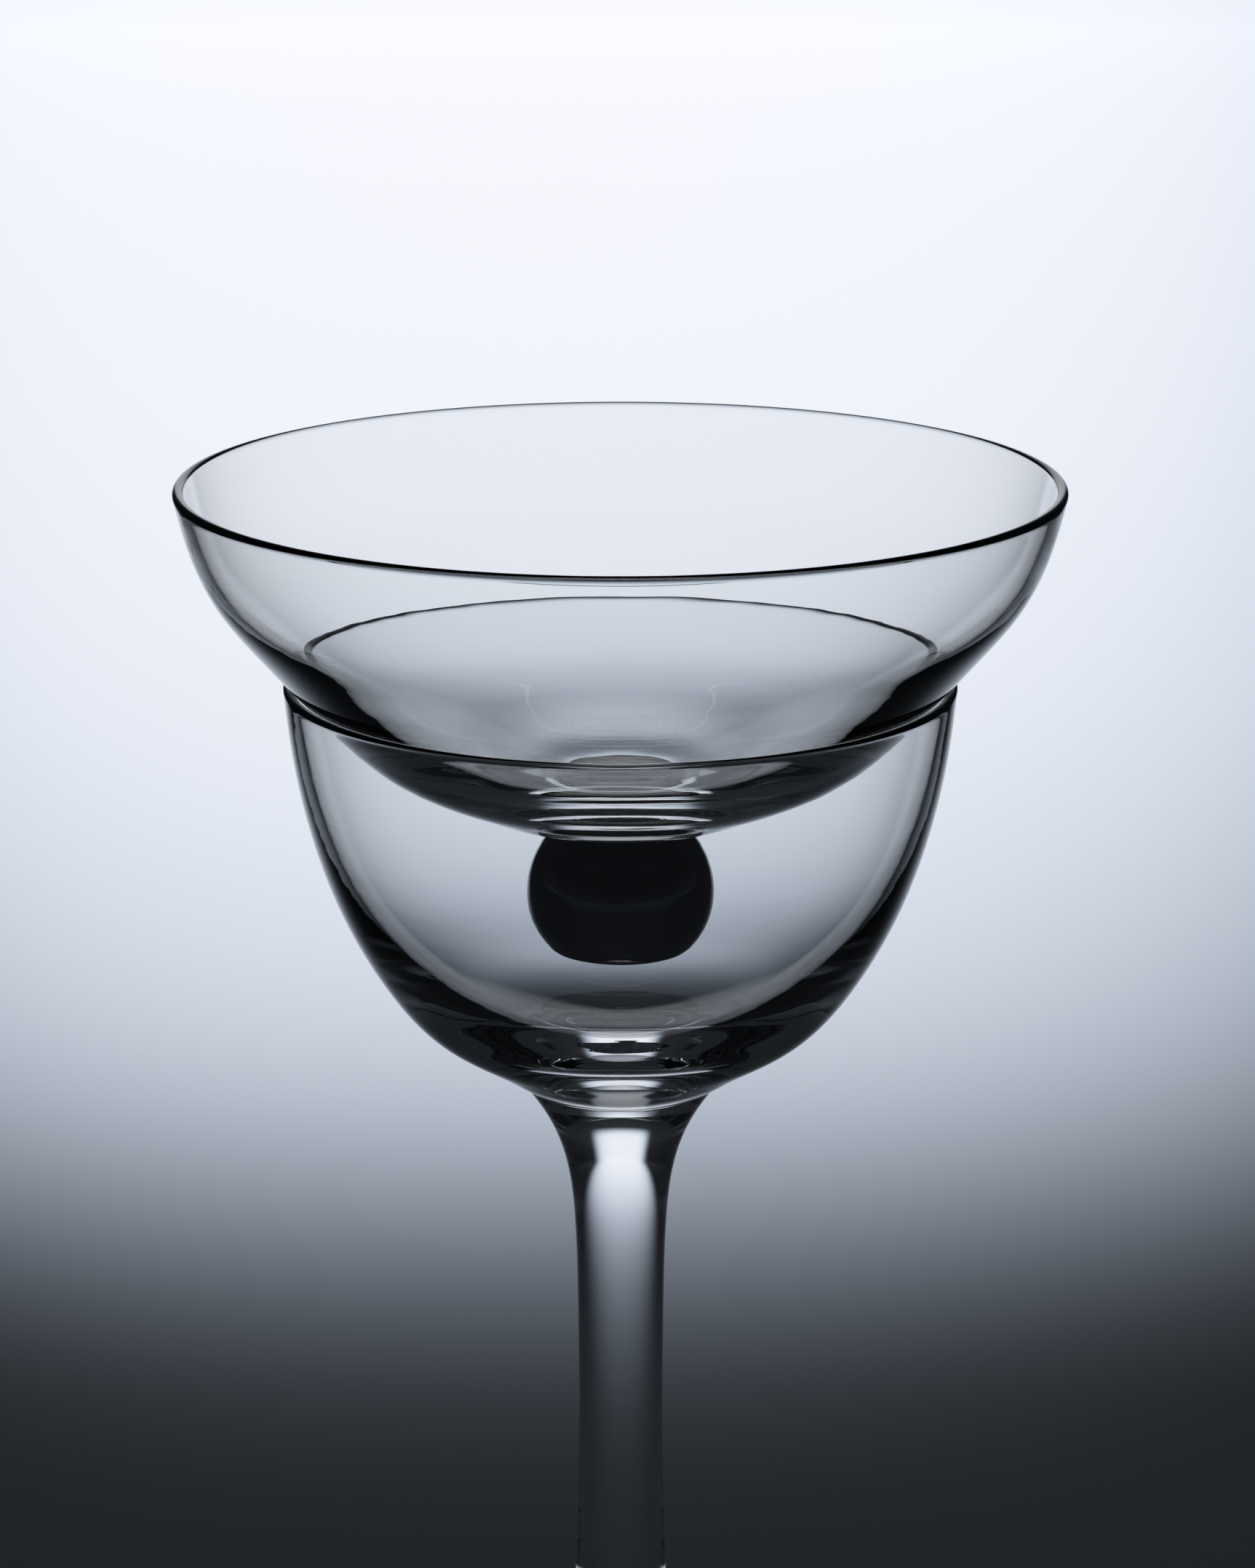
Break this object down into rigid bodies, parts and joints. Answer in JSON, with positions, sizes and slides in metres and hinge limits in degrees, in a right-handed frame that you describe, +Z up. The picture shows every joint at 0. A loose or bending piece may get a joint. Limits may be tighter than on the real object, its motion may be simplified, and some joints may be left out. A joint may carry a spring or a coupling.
{
  "type": "martini glass",
  "caption": "Stemmed clear goblet with a wide shallow cocktail bowl nested in its rim; the bowl lifts out and stands on its own glossy black ball foot.",
  "frame": {"origin": "centre of the foot's underside, on the table that the goblet stands on", "axes": "+Z up the stem, the axis that every piece is turned about; X and Y are equivalent"},
  "size_m": [0.112, 0.112, 0.1776],
  "materials": {
    "goblet_glass": "clear, fire polished",
    "stem_glass": "clear, drawn and fire polished",
    "foot_glass": "clear, polished, faint wear on its resting ring",
    "insert_glass": "clear, fire polished",
    "black_glass": "opaque black, glossy, ground flat underneath"
  },
  "bodies": {
    "goblet": {"goblet_bowl": "goblet_glass", "stem": "stem_glass", "foot": "foot_glass"},
    "cocktail_bowl": {"insert_bowl": "insert_glass", "ball_foot": "black_glass"}
  },
  "joints": [
    {"name": "insert_lift", "type": "slide", "parent": "goblet", "child": "cocktail_bowl", "axis": [0, 0, 1], "range_m": [0, 0.06]}
  ]
}
